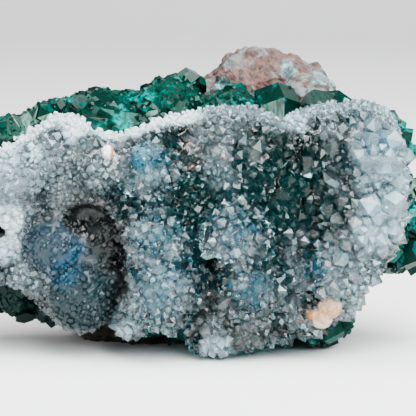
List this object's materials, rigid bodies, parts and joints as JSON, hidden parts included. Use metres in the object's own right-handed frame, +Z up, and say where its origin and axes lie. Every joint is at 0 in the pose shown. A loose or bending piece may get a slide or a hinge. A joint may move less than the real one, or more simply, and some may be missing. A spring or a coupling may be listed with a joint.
{
  "type": "quartz on shattuckite and dioptase",
  "caption": "Mineral specimen: a druse of small clear quartz crystals over blue shattuckite balls, on green dioptase and a pink and turquoise matrix.",
  "frame": {"origin": "middle of the underside of the whole specimen's box", "axes": "+X along the crust to the right, +Y from the quartz crust to the back, +Z up from the foot"},
  "size_m": [0.0702, 0.0354, 0.0423],
  "materials": {
    "quartz": "clear crystal",
    "dioptase": "glassy emerald green",
    "shattuckite": "silky blue",
    "matrix": "rough",
    "calcite": "dull cream"
  },
  "bodies": {
    "root": {"matrix": "matrix", "dioptase_crust": "dioptase", "shattuckite_ball_1": "shattuckite", "shattuckite_ball_2": "shattuckite", "shattuckite_ball_3": "shattuckite", "shattuckite_ball_4": "shattuckite", "shattuckite_ball_5": "shattuckite", "shattuckite_ball_6": "shattuckite", "shattuckite_ball_7": "shattuckite", "shattuckite_ball_8": "shattuckite", "shattuckite_ball_9": "shattuckite", "quartz_druse": "quartz", "calcite_knob": "calcite", "calcite_bead": "calcite"}
  },
  "joints": []
}
